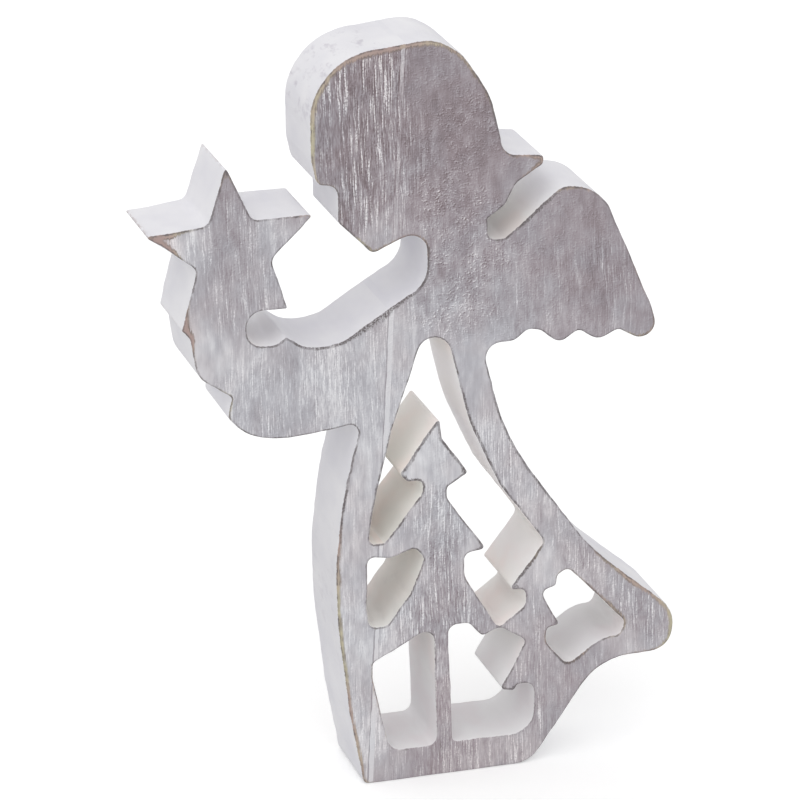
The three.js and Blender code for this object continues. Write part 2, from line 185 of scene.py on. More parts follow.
# Places where the wash is warmer, or cooler: x, z, size of the place, amount
WARM_PLACES = (
    (3, 4, 22, 0.6),
    (0, 22, 6, 0.9),
    (27, 38, 12, 0.2),
    (38, 24, 14, 0.1),
    (-14, 201, 7, 0.5),
    (4, 172, 22, 0.2),
    (-37, 178, 6, -1.0),
    (-66.6, 130, 4, 1.4),
    (-71.5, 153.5, 3.5, 1.2),
    (-22, 110, 14, -0.4),
    (-20, 10, 8, -0.4),
    (0, 63, 8, -0.2),
    (-27, 40, 22, -0.4),
    (-45, 110, 22, -0.5),
    (0, 84, 14, -0.4),
    (-55, 155, 18, -0.3),
    (8, 118, 14, -0.3),
)

# Places on the sawn walls where the paint is scuffed: x, z, size of the place, amount
SCUFFS = (
    (-31, 186, 5, 1.0),
    (-25, 195, 5, 1.0),
    (-16, 199.5, 4, 0.8),
    (-26, 45, 25, 0.35),
)

# How the wash looks at places on the face: x, z, how white, how streaky, how speckled
WASH_PLACES = (
    (-29, 180, 0.38, 0.85, 0.05),
    (-17, 192, 0.34, 1.35, 0.3),
    (-20, 173, 0.34, 1.1, 0.2),
    (-19, 159, 0.38, 1.0, 0.3),
    (-14, 150, 0.60, 0.4, 0.15),
    (0, 190, 0.37, 0.12, 0.45),
    (8, 174, 0.28, 0.1, 0.8),
    (3, 158, 0.41, 0.15, 1.0),
    (22, 165, 0.45, 0.1, 0.35),
    (7, 142, 0.46, 0.25, 0.9),
    (4, 127, 0.61, 0.3, 0.85),
    (37, 150, 0.41, 0.15, 0.35),
    (44, 134, 0.40, 0.4, 0.3),
    (55, 120, 0.47, 0.3, 0.15),
    (24, 128, 0.52, 0.3, 0.35),
    (9, 113, 0.72, 0.05, 0.05),
    (-8, 119, 0.76, 0.2, 0.1),
    (17, 86, 0.73, 0.5, 0.1),
    (36, 58, 0.61, 0.6, 0.3),
    (56, 37, 0.56, 0.6, 0.3),
    (38, 24, 0.54, 0.35, 0.15),
    (27, 40, 0.61, 0.4, 0.1),
    (0, 88, 0.77, 0.2, 0.15),
    (-4.5, 86, 0.80, 0.05, 0.0),
    (5, 84, 0.79, 0.05, 0.0),
    (0, 77, 0.67, 0.8, 0.4),
    (-8, 62, 0.72, 0.15, 0.05),
    (10, 60, 0.80, 0.05, 0.0),
    (-8, 82.5, 0.80, 0.05, 0.0),
    (7, 81, 0.80, 0.05, 0.0),
    (30, 56.5, 0.78, 0.1, 0.05),
    (51.5, 31.5, 0.70, 0.2, 0.05),
    (0, 63, 0.59, 0.8, 0.4),
    (0, 47, 0.55, 0.95, 0.2),
    (0, 22, 0.59, 0.7, 0.2),
    (15, 4, 0.63, 0.45, 0.1),
    (0, 4, 0.50, 0.55, 0.1),
    (-14, 4, 0.60, 0.25, 0.05),
    (-54, 165, 0.48, 0.4, 0.15),
    (-53, 150, 0.53, 0.35, 0.3),
    (-66, 153, 0.74, 0.3, 0.1),
    (-40, 153, 0.67, 0.25, 0.15),
    (-50, 138, 0.57, 0.4, 0.1),
    (-60, 122, 0.77, 0.05, 0.0),
    (-54, 112, 0.74, 0.4, 0.15),
    (-42, 110, 0.68, 0.3, 0.1),
    (-44, 103, 0.63, 0.4, 0.15),
    (-27, 112, 0.79, 0.55, 0.1),
    (-17, 106, 0.75, 0.3, 0.1),
    (-22, 88, 0.80, 0.1, 0.05),
    (-24, 66, 0.77, 0.15, 0.05),
    (-23, 40, 0.79, 0.25, 0.05),
    (-21, 12, 0.82, 0.35, 0.1),
)

# How far the filler spreads past its glue line, by height: z, amount
FILLER_SPREAD = ((0, 0.4), (16, 0.25), (40, 0), (80, 0.05), (92, 0.25), (130, 0.28), (140, 0))

# How much of the filler shows, by height, less in the head, where the wash covers it: z, amount
FILLER_SHOWS = ((0, 1), (130, 1), (150, 0.3), (185, 0.15), (193, 0.7))

# How warm the paint in the cut-outs is, and how much painted light makes it lighter, by height: z, amount
CUT_OUT_WARMTH_AND_LIGHT = ((20, 0.3), (60, 1))

# The photograph's camera: from the star's side and above, with a long lens and a slight roll
CAMERA_AZIMUTH = math.radians(-15.79)
CAMERA_ELEVATION = math.radians(19.65)
CAMERA_ROLL = math.radians(-0.99)
CAMERA_TARGET = (-10.12, -12.5, 105.99)
CAMERA_DISTANCE = 1252.92
CAMERA_SENSOR = 36
CAMERA_LENS = 219.87
CAMERA_REACH = 50  # metres

# The floor and the light. Floor and room are brighter to the camera than to the object.
FLOOR_HALF = 8.0  # metres
FLOOR_DROP = 0.05  # under the base
FLOOR_TO_OBJECT = 0.75
FLOOR_TO_CAMERA = 0.9
FLOOR_GLOW = 0.2
ROOM_TO_OBJECT = 0.81
ROOM_TO_CAMERA = 1
LAMP_SPREAD = math.radians(70)
LAMPS = (
    ("key", 0.8, (-0.35, -0.65, 0.67)),
    ("rear", 0.25, (-0.15, 0.75, 0.65)),
)


def across_seam(x, z):
    """Distance from the middle of the seam, negative towards the star."""
    return (x - SEAM_FOOT_X) * math.cos(SEAM_LEAN) - z * math.sin(SEAM_LEAN)


def corners_of(node):
    """Millimetre places of the corners of a solid's mesh in the frame."""
    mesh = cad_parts[node].data
    places = np.empty(3 * len(mesh.vertices))
    mesh.vertices.foreach_get("co", places)
    return places.reshape(-1, 3) / MM


def front_rim(node):
    """Corners and directed edges round a solid's front face: the edges that only one front triangle has."""
    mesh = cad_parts[node].data
    mesh.calc_loop_triangles()
    corners = np.empty(3 * len(mesh.loop_triangles), int)
    mesh.loop_triangles.foreach_get("vertices", corners)
    spots, shared = np.unique(np.round(corners_of(node), 3), axis=0, return_inverse=True)
    triangles = shared.ravel()[corners].reshape(-1, 3)
    at_front = spots[:, 1] < spots[:, 1].min() + 0.01
    triangles = triangles[at_front[triangles].all(axis=1)]
    edges = np.concatenate([triangles[:, [0, 1]], triangles[:, [1, 2]], triangles[:, [2, 0]]])
    forwards = edges[:, 0] * len(spots) + edges[:, 1]
    backwards = edges[:, 1] * len(spots) + edges[:, 0]
    return spots[:, [0, 2]], edges[~np.isin(forwards, backwards)]


def closed_loops(follower):
    """Orders a table of each point's follower into closed loops by doubling: in each round a point looks
    twice as far ahead, first for its loop's lowest number, then for the steps left to the loop's end."""
    numbers = np.arange(len(follower))
    rounds = int(math.log2(len(follower))) + 1
    lowest = numbers
    ahead = follower
    for _ in range(rounds):
        lowest = np.minimum(lowest, lowest[ahead])
        ahead = ahead[ahead]
    is_last = follower == lowest
    ahead = np.where(is_last, numbers, follower)
    left = np.where(is_last, 0, 1)
    for _ in range(rounds):
        left = left + left[ahead]
        ahead = ahead[ahead]
    order = np.lexsort((-left, lowest))
    starts = np.flatnonzero(np.diff(lowest[order]))
    return np.split(order, starts + 1)


def board_outline():
    """Loops round the whole board before the seam parted it: the pieces' front rims without their edges
    along the seam, with each loose end joined to the nearest loose start of another piece."""
    points = np.empty((0, 2))
    edges = np.empty((0, 2), int)
    owner = np.empty(0, int)
    for number, node in enumerate(STAVES + GLUE_LINES):
        spots, rim = front_rim(node)
        edges = np.vstack([edges, rim + len(points)])
        points = np.vstack([points, spots])
        owner = np.concatenate([owner, np.full(len(spots), number)])
    side = across_seam(points[:, 0], points[:, 1])
    faces = np.array([SEAM_WIDTH / 2, SEAM_WIDTH / 2 - SEAM_FIT])
    at_seam = (np.abs(np.abs(side)[:, None] - faces) < 0.01).any(axis=1)
    same_face = np.abs(side[edges[:, 0]] - side[edges[:, 1]]) < 0.02
    edges = edges[~(at_seam[edges].all(axis=1) & same_face)]
    ends = np.setdiff1d(edges[:, 1], edges[:, 0])
    starts = np.setdiff1d(edges[:, 0], edges[:, 1])
    apart = np.linalg.norm(points[ends][:, None] - points[starts][None], axis=2)
    same_piece = owner[ends][:, None] == owner[starts][None]
    partners = starts[np.argmin(apart + same_piece * 1000, axis=1)]
    assert len(np.unique(partners)) == len(ends), "two loose ends share a start"
    heads = np.concatenate([edges[:, 0], ends])
    followers = np.concatenate([edges[:, 1], partners])
    used = np.unique(heads)
    follower = np.empty(len(used), int)
    follower[np.searchsorted(used, heads)] = np.searchsorted(used, followers)
    return [points[used][loop] for loop in closed_loops(follower)]


def soften(values, reach):
    """Circular Gaussian average of values at even steps along a closed path; reach is its spread."""
    turns = np.fft.rfftfreq(len(values), PATH_STEP)
    keep = np.exp(-2 * (math.pi * turns * reach) ** 2)
    keep = keep.reshape(-1, *[1] * (values.ndim - 1))
    return np.fft.irfft(np.fft.rfft(values, axis=0) * keep, len(values), axis=0)


def wander(count, reach, draw):
    """Random values along a closed path, smooth over the given reach, with a spread of one."""
    raw = soften(draw.standard_normal(count), reach)
    return (raw - raw.mean()) / raw.std()


def sideways(path):
    """Unit vectors square to a closed path, towards its left, where the wood is."""
    along = np.roll(path, -1, axis=0) - np.roll(path, 1, axis=0)
    along /= np.linalg.norm(along, axis=1, keepdims=True)
    return np.column_stack([-along[:, 1], along[:, 0]])


def area_inside(path):
    """Area that a closed path goes round, negative round a cut-out, which is on the path's right."""
    x, z = path.T
    return 0.5 * (x * np.roll(z, -1) - np.roll(x, -1) * z).sum()


def sawn_path(loop, draw):
    """Even steps along a polygon, its corners eased by a Gaussian average, moved square to itself by the
    saw's wander, which dies out at the flat base."""
    ring = np.vstack([loop, loop[:1]])
    run = np.concatenate([[0], np.cumsum(np.linalg.norm(np.diff(ring, axis=0), axis=1))])
    count = round(run[-1] / PATH_STEP)
    at = np.arange(count) * run[-1] / count
    path = np.column_stack([np.interp(at, run, ring[:, 0]), np.interp(at, run, ring[:, 1])])
    path = soften(path, PATH_EASE)
    stray = sum(share * wander(count, reach, draw) for reach, share in STRAYS)
    above_base = np.clip(path[:, 1] / 3 - 0.3, 0, 1)
    path += sideways(path) * (PATH_WANDER * stray * above_base)[:, None]
    path[:, 1] = np.maximum(path[:, 1], 0)
    return path


def room_inside(path, inward):
    """Radius of the largest circle in the wood that touches the path at each point: for another point at
    distance d, of which a is along the inward normal, that circle has radius d squared over 2 a."""
    room = np.empty(len(path))
    for block in np.array_split(np.arange(len(path)), BLOCKS):
        gap = path[None] - path[block][:, None]
        depth = np.einsum("bpk,bk->bp", gap, inward[block])
        circle = (gap**2).sum(axis=2) / (2 * np.maximum(depth, 1e-4))
        room[block] = np.where(depth > 1e-4, circle, np.inf).min(axis=1)
    return room


def inside(points, path, follower):
    """Whether points lie in the wood: a level ray to the left crosses the path an odd number of times."""
    low, high = path, path[follower]
    crossings = np.zeros(len(points), int)
    for block in np.array_split(np.arange(len(path)), BLOCKS):
        (x0, z0), (x1, z1) = low[block].T, high[block].T
        spans = (z0 > points[:, 1:]) != (z1 > points[:, 1:])
        rise = np.where(z1 == z0, 1, z1 - z0)
        x = x0 + (points[:, 1:] - z0) / rise * (x1 - x0)
        crossings += (spans & (x < points[:, :1])).sum(axis=1)
    return crossings % 2 == 1


def nearest(points, path):
    """Distance of each point from the nearest point of the path."""
    blocks = np.array_split(points, BLOCKS)
    return np.concatenate([np.linalg.norm(b[:, None] - path[None], axis=2).min(axis=1) for b in blocks])


def spots_at(points, spots):
    """Sum of round humps over the points: each spot's amount times a Gaussian of its size."""
    total = np.zeros(len(points))
    for x, z, size, amount in spots:
        total += amount * np.exp(-((points[:, 0] - x) ** 2 + (points[:, 1] - z) ** 2) / size**2)
    return total


def wash_at(points):
    """White, streaks and specks of the wash at points: the listed places' values, each weighted by the
    fourth power of its nearness."""
    places = np.array(WASH_PLACES)
    apart = ((points[:, None] - places[None, :, :2]) ** 2).sum(axis=2)
    weights = 1 / (apart + 4) ** 2
    return (weights @ places[:, 2:] / weights.sum(axis=1, keepdims=True)).T


def lattice(low, high):
    """Points of a triangular lattice over a rectangle."""
    rows = np.arange(low[1], high[1], CAP_PITCH * math.sqrt(0.75))
    columns = np.arange(low[0], high[0], CAP_PITCH)
    x = columns[None] + (np.arange(len(rows)) % 2 * CAP_PITCH / 2)[:, None]
    z = np.broadcast_to(rows[:, None], x.shape)
    return np.column_stack([x.ravel(), z.ravel()])


def along_height(z, steps):
    """Amounts at heights, read off between the listed heights."""
    heights, amounts = np.transpose(steps)
    return np.interp(z, heights, amounts)


def arris_radii(path, inward, uneven, lengths):
    """Radius of the sanded arris along the paths: the usual one, varied, more where it is worn, never more
    than its share of the room in the wood, and evened out along each path."""
    room = room_inside(path, inward)
    wanted = ARRIS + ARRIS_VARIES * uneven + spots_at(path, WORN_ARRISES)
    arris = np.minimum(np.maximum(wanted, LEAST_ARRIS), ARRIS_SHARE * room)
    by_path = np.split(arris, np.cumsum(lengths)[:-1])
    arris = np.concatenate([soften(radii, ARRIS_EASE) for radii in by_path])
    return np.minimum(arris, EVENED_SHARE * room)


def wall_section(arris):
    """Rows of the section from the front face to the back face, a quarter round, the straight wall and a
    quarter round: how far each is inside the path, how deep in the board, and how far past the arris."""
    turn = np.linspace(0, math.pi / 2, ARRIS_ROWS + 1)[:, None]
    inset = arris * (1 - np.sin(turn))
    depth = -BOARD_HALF + arris * (1 - np.cos(turn))
    through = np.linspace(-1, 1, WALL_ROWS + 2)[1:-1, None] * (BOARD_HALF - arris)
    past_round = arris * (turn - math.pi / 4)
    past_wall = arris * math.pi / 4 + BOARD_HALF - np.abs(through) - arris
    return (
        np.vstack([inset, np.zeros_like(through), inset[::-1]]),
        np.vstack([depth, through, -depth[::-1]]),
        np.vstack([past_round, past_wall, past_round[::-1]]),
    )


def face_triangles(rim, path, follower):
    """Points of a lattice in the wood, and the triangles of a face between its rim and those points."""
    points = lattice(path.min(axis=0), path.max(axis=0))
    points = points[inside(points, path, follower)]
    points = points[nearest(points, rim) > RIM_CLEARANCE]
    points = points[nearest(points, path) > PATH_CLEARANCE]
    corners = np.vstack([rim, points])
    limits = np.column_stack([np.arange(len(rim)), follower])
    made = delaunay_2d_cdt([Vector(p) for p in corners], limits.tolist(), [], 1, 1e-7)
    assert len(made[0]) == len(corners), "the eased arrises cross"
    triangles = np.array(made[2])
    on_rim = (triangles < len(rim)).all(axis=1)
    middles = corners[triangles].mean(axis=1)
    keep = ~on_rim
    keep[on_rim] = inside(middles[on_rim], rim, follower)
    return points, triangles[keep]


def whole_board():
    """The sawn and sanded board in one closed mesh. Its wall is a section carried along every path: a
    quarter round from the front face, straight through the board, a quarter round to the back face. The
    faces are triangles between the sections' ends and a lattice of points in the wood."""
    draw = np.random.default_rng(SAW_SEED)
    paths = [sawn_path(loop, draw) for loop in board_outline()]
    lengths = [len(path) for path in paths]
    starts = np.repeat(np.cumsum([0] + lengths[:-1]), lengths)
    path = np.concatenate(paths)
    count = len(path)
    numbers = np.arange(count)
    follower = (numbers - starts + 1) % np.repeat(lengths, lengths) + starts
    inward = np.concatenate([sideways(p) for p in paths])
    uneven = np.concatenate([wander(n, ARRIS_REACH, draw) for n in lengths])
    in_cut_out = np.concatenate([np.full(len(p), float(area_inside(p) < 0)) for p in paths])

    arris = arris_radii(path, inward, uneven, lengths)
    inset, depth, from_arris = wall_section(arris)
    rows = len(from_arris)
    flat = path[None] + inward[None] * inset[:, :, None]
    wall = np.stack([flat[:, :, 0], depth, flat[:, :, 1]], axis=2)
    mesh_points, triangles = face_triangles(flat[0], path, follower)

    i, j = numbers, follower
    row = np.arange(rows - 1)[:, None] * count
    quads = np.stack([row + i, row + count + i, row + count + j, row + j], axis=2).reshape(-1, 4)
    front_caps = np.where(triangles < count, triangles, triangles + (rows - 1) * count)
    extra = len(mesh_points)
    back_caps = np.where(triangles < count, triangles + (rows - 1) * count, front_caps + extra)[:, ::-1]

    sheet = np.column_stack([mesh_points[:, 0], np.full(extra, -BOARD_HALF), mesh_points[:, 1]])
    points = np.vstack([wall.reshape(-1, 3), sheet, sheet * (1, -1, 1)])
    plan = points[:, [0, 2]]
    rubbed = spots_at(plan, RUBBED_POINTS)
    points[:, 1] += rubbed * (0.5 - points[:, 1] / (2 * BOARD_HALF))

    on_face = ARRIS * (1 - math.pi / 4) - nearest(mesh_points, path)
    white, streaky, specky = wash_at(plan)
    warm_and_lit = along_height(plan[:, 1], CUT_OUT_WARMTH_AND_LIGHT)
    fields = {
        "from_arris": np.concatenate([from_arris.ravel(), on_face, on_face]),
        "worn": spots_at(plan, WORN_ARRISES) + 0.4 * rubbed,
        "lined": spots_at(plan, LINED_ARRISES),
        "ridge": spots_at(plan, WORN_RIDGES),
        "warm": spots_at(plan, WARM_PLACES),
        "grey": spots_at(plan, PAINTED_SHADE_AND_LIGHT_ON_WALLS),
        "scuffed": spots_at(plan, SCUFFS),
        "cut_out": np.concatenate([np.tile(in_cut_out, rows), np.zeros(2 * extra)]) * warm_and_lit
        + spots_at(plan, WARM_LIT_WALLS),
        "white": white,
        "streaky": streaky,
        "specky": specky,
        "from_seam": across_seam(plan[:, 0], plan[:, 1]),
    }
    faces = quads.tolist() + front_caps.tolist() + back_caps.tolist()
    return points, faces, fields


def new_mesh(name, points, faces, fields):
    """A mesh with one number per point for each named field."""
    mesh = bpy.data.meshes.new(name)
    mesh.from_pydata(points.tolist(), [], faces)
    for field, values in fields.items():
        mesh.attributes.new(field, "FLOAT", "POINT").data.foreach_set("value", values)
    return mesh


def seam_plane(distance, outwards):
    """A plane along the seam at a distance across it, as a point and the direction out of the wood."""
    square = Vector((math.cos(SEAM_LEAN), 0, -math.sin(SEAM_LEAN)))
    return Vector((SEAM_FOOT_X, 0, 0)) + square * distance, square * outwards


def level_plane(height, outwards):
    """A level plane at a height, given in the same way."""
    return Vector((0, 0, height)), Vector((0, 0, outwards))


def cut_by(mesh, planes):
    """The part of a mesh on the inner side of all the planes, closed where it was cut."""
    part = bmesh.new()
    part.from_mesh(mesh)
    for place, outwards in planes:
        whole = part.verts[:] + part.edges[:] + part.faces[:]
        cut = bmesh.ops.bisect_plane(
            part, geom=whole, dist=1e-5, plane_co=place, plane_no=outwards, clear_outer=True)
        rim = [e for e in cut["geom_cut"] if isinstance(e, bmesh.types.BMEdge)]
        bmesh.ops.triangle_fill(part, edges=rim, normal=outwards, use_beauty=True)
    bmesh.ops.recalc_face_normals(part, faces=part.faces[:])
    mesh = bpy.data.meshes.new("cut_board")
    part.to_mesh(mesh)
    part.free()
    return mesh


def islands(mesh):
    """For each point of a mesh, the lowest point that edges lead to, found by doubling."""
    edges = np.empty(2 * len(mesh.edges), int)
    mesh.edges.foreach_get("vertices", edges)
    a, b = edges.reshape(-1, 2).T
    label = np.arange(len(mesh.vertices))
    while (label[a] != label[b]).any():
        lower = np.minimum(label[a], label[b])
        np.minimum.at(label, label[a], lower)
        np.minimum.at(label, label[b], lower)
        label = label[label]
    return label


def pieces_of(mesh):
    """The separate bodies of a mesh, each as points, faces and fields."""
    label = islands(mesh)
    points = np.empty(3 * len(mesh.vertices))
    mesh.vertices.foreach_get("co", points)
    sizes = np.empty(len(mesh.polygons), int)
    mesh.polygons.foreach_get("loop_total", sizes)
    corners = np.empty(len(mesh.loops), int)
    mesh.loops.foreach_get("vertex_index", corners)
    fields = {}
    for attribute in mesh.attributes:
        if attribute.domain == "POINT" and attribute.data_type == "FLOAT":
            fields[attribute.name] = np.empty(len(label))
            attribute.data.foreach_get("value", fields[attribute.name])
    faces = np.split(corners, np.cumsum(sizes)[:-1])
    first = np.array([face[0] for face in faces])
    parts = []
    for body in np.unique(label):
        mine = label == body
        number = np.cumsum(mine) - 1
        own_faces = [number[faces[k]].tolist() for k in np.flatnonzero(mine[first])]
        own_fields = {field: values[mine] for field, values in fields.items()}
        parts.append((points.reshape(-1, 3)[mine], own_faces, own_fields))
    return parts


def lowest(part):
    """Height of a body's lowest point."""
    return part[0][:, 2].min()


def point_count(part):
    """How many points a body has."""
    return len(part[0])


def add_object(name, data):
    """A new object in the scene for a mesh, a lamp or a camera."""
    thing = bpy.data.objects.new(name, data)
    bpy.context.scene.collection.objects.link(thing)
    return thing


def place_piece(name, part, material):
    """Puts a finished piece where its solid is, in metres, smooth apart from its seam edges."""
    points, faces, fields = part
    mesh = new_mesh(name + "_mesh", points * MM, faces, fields)
    mesh.polygons.foreach_set("use_smooth", np.ones(len(mesh.polygons), bool))
    mesh.set_sharp_from_angle(angle=SHARP_ANGLE)
    mesh.materials.append(material)
    piece = add_object(name + "_finished", mesh)
    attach(piece, "root")
    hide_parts(name)
    return piece


def set_stops(elements, stops):
    """Gives a colour ramp, which starts out with a first and a last stop, its positions and colours."""
    for position, colour in stops[1:-1]:
        elements.new(position).color = colour
    elements[0].position, elements[0].color = stops[0]
    elements[-1].position, elements[-1].color = stops[-1]


class Wire:
    """A shader socket used in sums: an operator adds the Math or Vector Math node that works it out."""

    def __init__(self, tree, socket=None):
        self.tree = tree
        self.socket = socket

    def node(self, kind, settings=None, inputs=None, output=0):
        """Adds a node: its settings or its ramp's stops first, then the values or links of its sockets."""
        node = self.tree.nodes.new("ShaderNode" + kind)
        for key, value in (settings or {}).items():
            if key == "stops":
                set_stops(node.color_ramp.elements, value)
            else:
                setattr(node, key, value)
        for key, value in (inputs or {}).items():
            if isinstance(value, Wire):
                self.tree.links.new(value.socket, node.inputs[key])
            else:
                node.inputs[key].default_value = value
        return Wire(self.tree, node.outputs[output])

    def sum_node(self, operation, first, second):
        """A Math node, or a Vector Math node where one of the two is a vector."""
        is_vector = "VECTOR" in [w.socket.type for w in (first, second) if isinstance(w, Wire)]
        kind = "VectorMath" if is_vector else "Math"
        return self.node(kind, {"operation": operation}, {0: first, 1: second})

    def __add__(self, other):
        return self.sum_node("ADD", self, other)

    def __radd__(self, other):
        return self.sum_node("ADD", other, self)

    def __sub__(self, other):
        return self.sum_node("SUBTRACT", self, other)

    def __rsub__(self, other):
        return self.sum_node("SUBTRACT", other, self)

    def __mul__(self, other):
        return self.sum_node("MULTIPLY", self, other)

    def __rmul__(self, other):
        return self.sum_node("MULTIPLY", other, self)

    def least(self, other):
        """The smaller of two values."""
        return self.sum_node("MINIMUM", self, other)

    def most(self, other):
        """The larger of two values."""
        return self.sum_node("MAXIMUM", self, other)

    def ramp(self, low, high):
        """A smooth step from 0 at low to 1 at high; the other way round where low is above high."""
        if low > high:
            return 1 - self.ramp(high, low)
        settings = {"interpolation_type": "SMOOTHSTEP"}
        return self.node("MapRange", settings, {"Value": self, "From Min": low, "From Max": high})

    def blend(self, first, second):
        """Colours mixed by this factor, through the Mix node's sockets for colours."""
        return self.node("Mix", {"data_type": "RGBA"}, {0: self, 6: first, 7: second}, 2)

    def colours(self, stops):
        """Colours read off along a scale by this value."""
        return self.node("ValToRGB", {"stops": stops}, {0: self})

    def ends_in(self, kind):
        """Leads this shader to the surface of a new output node."""
        output = self.tree.nodes.new("ShaderNode" + kind)
        self.tree.links.new(self.socket, output.inputs["Surface"])


def bare_tree(owner):
    """A start for the nodes of a material or a world, emptied of those that it came with."""
    owner.use_nodes = True
    owner.node_tree.nodes.clear()
    return Wire(owner.node_tree)


def display(red, green, blue):
    """A colour as it should look on a screen, 0 to 255, as the shader's linear colour."""
    levels = np.array([red, green, blue]) / 255
    linear = np.where(levels > 0.04045, ((levels + 0.055) / 1.055) ** 2.4, levels / 12.92)
    return (*linear, 1.0)


# How the wash looks from bare grain to grain filled with white, by how much white is left
COOL_WASH = (
    (0.0, display(114, 106, 109)),
    (0.3, display(145, 138, 144)),
    (0.5, display(163, 160, 166)),
    (0.7, display(184, 183, 189)),
    (1.0, display(229, 229, 232)),
)
WARM_WASH = (
    (0.0, display(120, 105, 108)),
    (0.3, display(149, 137, 141)),
    (0.5, display(170, 160, 165)),
    (0.7, display(191, 184, 187)),
    (1.0, display(233, 227, 228)),
)
BARE_WOOD = (
    (0.3, display(192, 185, 160)),
    (0.5, display(182, 163, 152)),
    (0.7, display(172, 151, 146)),
)
OUTER_PAINT = (
    (0.35, display(222, 221, 226)),
    (0.65, display(230, 229, 232)),
)
# The paint in the cut-outs: warmer than outside, and lighter, a painted light in the holes
CUT_OUT_PAINT_AND_LIGHT = (
    (0.38, display(243, 233, 228)),
    (0.5, display(241, 237, 233)),
    (0.62, display(240, 239, 235)),
)
SCUFFED_PAINT = display(176, 170, 182)
# Painted shade and painted light for listed places on the sawn walls
PAINTED_SHADE_ON_WALLS = display(156, 152, 143)
PAINTED_LIGHT_ON_WALLS = display(249, 248, 250)
RIDGE_WOOD = display(166, 150, 146)
INNER_LINE = display(128, 118, 112)
OUTER_LINE = display(108, 102, 103)


